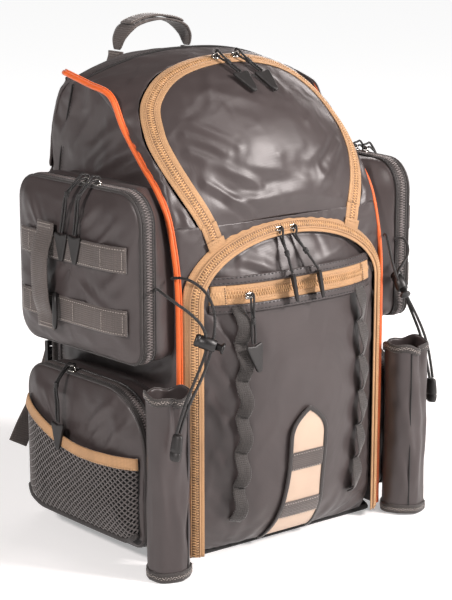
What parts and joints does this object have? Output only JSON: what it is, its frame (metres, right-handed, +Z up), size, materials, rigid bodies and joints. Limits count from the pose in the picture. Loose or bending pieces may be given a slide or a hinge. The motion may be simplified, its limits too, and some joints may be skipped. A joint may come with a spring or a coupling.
{
  "type": "tackle backpack",
  "caption": "Fishing backpack with a domed upper flap, a bulging lower tackle flap, zipped side pockets, rod tubes, webbing and padded straps.",
  "frame": {"origin": "on the ground, at the middle of the base between the side panels", "axes": "+Z up, -Y out of the front flaps, +Y towards the wearer's back, +X to the right as seen from the front"},
  "size_m": [0.3942, 0.3256, 0.494],
  "materials": {
    "shell_fabric": "coated nylon, satin",
    "tan_trim": "woven polyester tape and coil zip",
    "orange_piping": "woven cover over a cord",
    "webbing": "woven webbing with pale stitching",
    "padded_mesh": "spacer mesh over foam",
    "open_mesh": "open knitted mesh",
    "elastic_cord": "braided",
    "black_plastic": "moulded, fine texture",
    "rubber_pull": "moulded soft rubber",
    "nickel": "nickel plated"
  },
  "bodies": {
    "bag": {"back_panel": "padded_mesh", "side_panels": "shell_fabric", "base_panel": "shell_fabric", "top_panel": "shell_fabric", "upper_gusset": "shell_fabric", "divider_shelf": "shell_fabric", "front_yoke": "shell_fabric", "upper_zip_frame_tape": "tan_trim", "lower_zip_frame_tape": "tan_trim", "side_piping": "orange_piping", "rod_tube_left": "shell_fabric", "rod_tube_right": "shell_fabric", "upper_pocket_left": "shell_fabric", "upper_pocket_right": "shell_fabric", "lower_pocket_left": "shell_fabric", "lower_pocket_right": "shell_fabric", "shoulder_strap_left": "padded_mesh", "shoulder_strap_right": "padded_mesh", "strap_webbing": "webbing", "ladder_locks": "black_plastic", "bungee_left": "elastic_cord", "bungee_right": "elastic_cord", "cord_lock_left": "black_plastic", "cord_lock_right": "black_plastic", "cord_end_left": "rubber_pull", "cord_end_right": "rubber_pull"},
    "carry_handle": {"carry_handle": "webbing"},
    "upper_flap": {"upper_flap": "shell_fabric", "upper_zip_flap_tape": "tan_trim"},
    "lower_flap": {"lower_flap": "shell_fabric", "lower_zip_flap_tape": "tan_trim", "front_pocket_zip": "tan_trim", "daisy_chains": "webbing", "centre_patch": "tan_trim"},
    "lock_button_left": {"lock_button_left": "black_plastic"},
    "upper_pocket_flap_left": {"upper_pocket_flap_left": "shell_fabric", "molle_webbing_left": "webbing"},
    "upper_pocket_puller_left_front": {"upper_pocket_puller_left_front": "rubber_pull"},
    "upper_pocket_puller_left_rear": {"upper_pocket_puller_left_rear": "rubber_pull"},
    "lower_pocket_flap_left": {"lower_pocket_flap_left": "shell_fabric", "mesh_pocket_left": "open_mesh"},
    "lower_pocket_puller_left": {"lower_pocket_puller_left": "rubber_pull"},
    "lock_button_right": {"lock_button_right": "black_plastic"},
    "upper_pocket_flap_right": {"upper_pocket_flap_right": "shell_fabric", "molle_webbing_right": "webbing"},
    "upper_pocket_puller_right_front": {"upper_pocket_puller_right_front": "rubber_pull"},
    "upper_pocket_puller_right_rear": {"upper_pocket_puller_right_rear": "rubber_pull"},
    "lower_pocket_flap_right": {"lower_pocket_flap_right": "shell_fabric", "mesh_pocket_right": "open_mesh"},
    "lower_pocket_puller_right": {"lower_pocket_puller_right": "rubber_pull"},
    "upper_slider_left": {"upper_slider_left": "nickel"},
    "upper_pull_left": {"upper_pull_left": "rubber_pull"},
    "lower_slider_left": {"lower_slider_left": "nickel"},
    "lower_pull_left": {"lower_pull_left": "rubber_pull"},
    "upper_slider_right": {"upper_slider_right": "nickel"},
    "upper_pull_right": {"upper_pull_right": "rubber_pull"},
    "lower_slider_right": {"lower_slider_right": "nickel"},
    "lower_pull_right": {"lower_pull_right": "rubber_pull"},
    "front_pocket_slider": {"front_pocket_slider": "nickel"},
    "front_pocket_pull": {"front_pocket_pull": "rubber_pull"}
  },
  "joints": [
    {"name": "carry_handle_swing", "type": "hinge", "parent": "bag", "child": "carry_handle", "pos_m": [0, 0.097, 0.461], "axis": [1, 0, 0], "range_deg": [-60, 45]},
    {"name": "upper_flap_open", "type": "hinge", "parent": "bag", "child": "upper_flap", "pos_m": [0, -0.1165, 0.32], "axis": [1, 0, 0], "range_deg": [0, 80]},
    {"name": "lower_flap_open", "type": "hinge", "parent": "bag", "child": "lower_flap", "pos_m": [0, -0.108, 0.006], "axis": [1, 0, 0], "range_deg": [0, 60]},
    {"name": "lock_button_left_press", "type": "slide", "parent": "bag", "child": "lock_button_left", "axis": [-0.7015, 0.6414, 0.3107], "range_m": [0, 0.003], "stiffness_N_per_m": 300, "springref_m": -0.001},
    {"name": "upper_pocket_left_open", "type": "hinge", "parent": "bag", "child": "upper_pocket_flap_left", "pos_m": [-0.16253, 0.00057, 0.198], "axis": [0.075, -0.9972, 0], "range_deg": [0, 60]},
    {"name": "upper_pocket_puller_left_front_slide", "type": "slide", "parent": "upper_pocket_flap_left", "child": "upper_pocket_puller_left_front", "axis": [-0.075, 0.9972, 0], "range_m": [-0.018, 0]},
    {"name": "upper_pocket_puller_left_rear_slide", "type": "slide", "parent": "upper_pocket_flap_left", "child": "upper_pocket_puller_left_rear", "axis": [-0.075, 0.9972, 0], "range_m": [0, 0.003]},
    {"name": "lower_pocket_left_open", "type": "hinge", "parent": "bag", "child": "lower_pocket_flap_left", "pos_m": [-0.15439, 0.0004, 0.02], "axis": [0.0488, -0.9988, 0], "range_deg": [0, 75]},
    {"name": "lower_pocket_puller_left_slide", "type": "slide", "parent": "lower_pocket_flap_left", "child": "lower_pocket_puller_left", "axis": [-0.0488, 0.9988, 0], "range_m": [-0.025, 0.025]},
    {"name": "lock_button_right_press", "type": "slide", "parent": "bag", "child": "lock_button_right", "axis": [0.1498, 0.7188, 0.6789], "range_m": [0, 0.003], "stiffness_N_per_m": 300, "springref_m": -0.001},
    {"name": "upper_pocket_right_open", "type": "hinge", "parent": "bag", "child": "upper_pocket_flap_right", "pos_m": [0.16253, 0.00057, 0.198], "axis": [0.075, 0.9972, 0], "range_deg": [0, 60]},
    {"name": "upper_pocket_puller_right_front_slide", "type": "slide", "parent": "upper_pocket_flap_right", "child": "upper_pocket_puller_right_front", "axis": [0.075, 0.9972, 0], "range_m": [-0.018, 0]},
    {"name": "upper_pocket_puller_right_rear_slide", "type": "slide", "parent": "upper_pocket_flap_right", "child": "upper_pocket_puller_right_rear", "axis": [0.075, 0.9972, 0], "range_m": [0, 0.003]},
    {"name": "lower_pocket_right_open", "type": "hinge", "parent": "bag", "child": "lower_pocket_flap_right", "pos_m": [0.15439, 0.0004, 0.02], "axis": [0.0488, 0.9988, 0], "range_deg": [0, 75]},
    {"name": "lower_pocket_puller_right_slide", "type": "slide", "parent": "lower_pocket_flap_right", "child": "lower_pocket_puller_right", "axis": [0.0488, 0.9988, 0], "range_m": [-0.025, 0.025]},
    {"name": "upper_slider_left_slide", "type": "slide", "parent": "upper_flap", "child": "upper_slider_left", "axis": [-1, 0, 0], "range_m": [0, 0.02]},
    {"name": "lower_slider_left_slide", "type": "slide", "parent": "lower_flap", "child": "lower_slider_left", "axis": [-1, 0, 0], "range_m": [0, 0.02]},
    {"name": "upper_slider_right_slide", "type": "slide", "parent": "upper_flap", "child": "upper_slider_right", "axis": [1, 0, 0], "range_m": [0, 0.02]},
    {"name": "lower_slider_right_slide", "type": "slide", "parent": "lower_flap", "child": "lower_slider_right", "axis": [1, 0, 0], "range_m": [0, 0.02]},
    {"name": "upper_pull_left_swing", "type": "hinge", "parent": "upper_slider_left", "child": "upper_pull_left", "pos_m": [-0.012, -0.0259, 0.46587], "axis": [-1, 0, 0], "range_deg": [0, 80]},
    {"name": "lower_pull_left_swing", "type": "hinge", "parent": "lower_slider_left", "child": "lower_pull_left", "pos_m": [-0.0155, -0.1276, 0.3095], "axis": [-1, 0, 0], "range_deg": [0, 80]},
    {"name": "upper_pull_right_swing", "type": "hinge", "parent": "upper_slider_right", "child": "upper_pull_right", "pos_m": [0.012, -0.0259, 0.46587], "axis": [-1, 0, 0], "range_deg": [0, 80]},
    {"name": "lower_pull_right_swing", "type": "hinge", "parent": "lower_slider_right", "child": "lower_pull_right", "pos_m": [0.001, -0.1276, 0.3095], "axis": [-1, 0, 0], "range_deg": [0, 80]},
    {"name": "front_pocket_slider_slide", "type": "slide", "parent": "lower_flap", "child": "front_pocket_slider", "axis": [1, 0, 0], "range_m": [0, 0.03]},
    {"name": "front_pocket_pull_swing", "type": "hinge", "parent": "front_pocket_slider", "child": "front_pocket_pull", "pos_m": [-0.066, -0.1471, 0.257], "axis": [-1, 0, 0], "range_deg": [0, 80]}
  ]
}
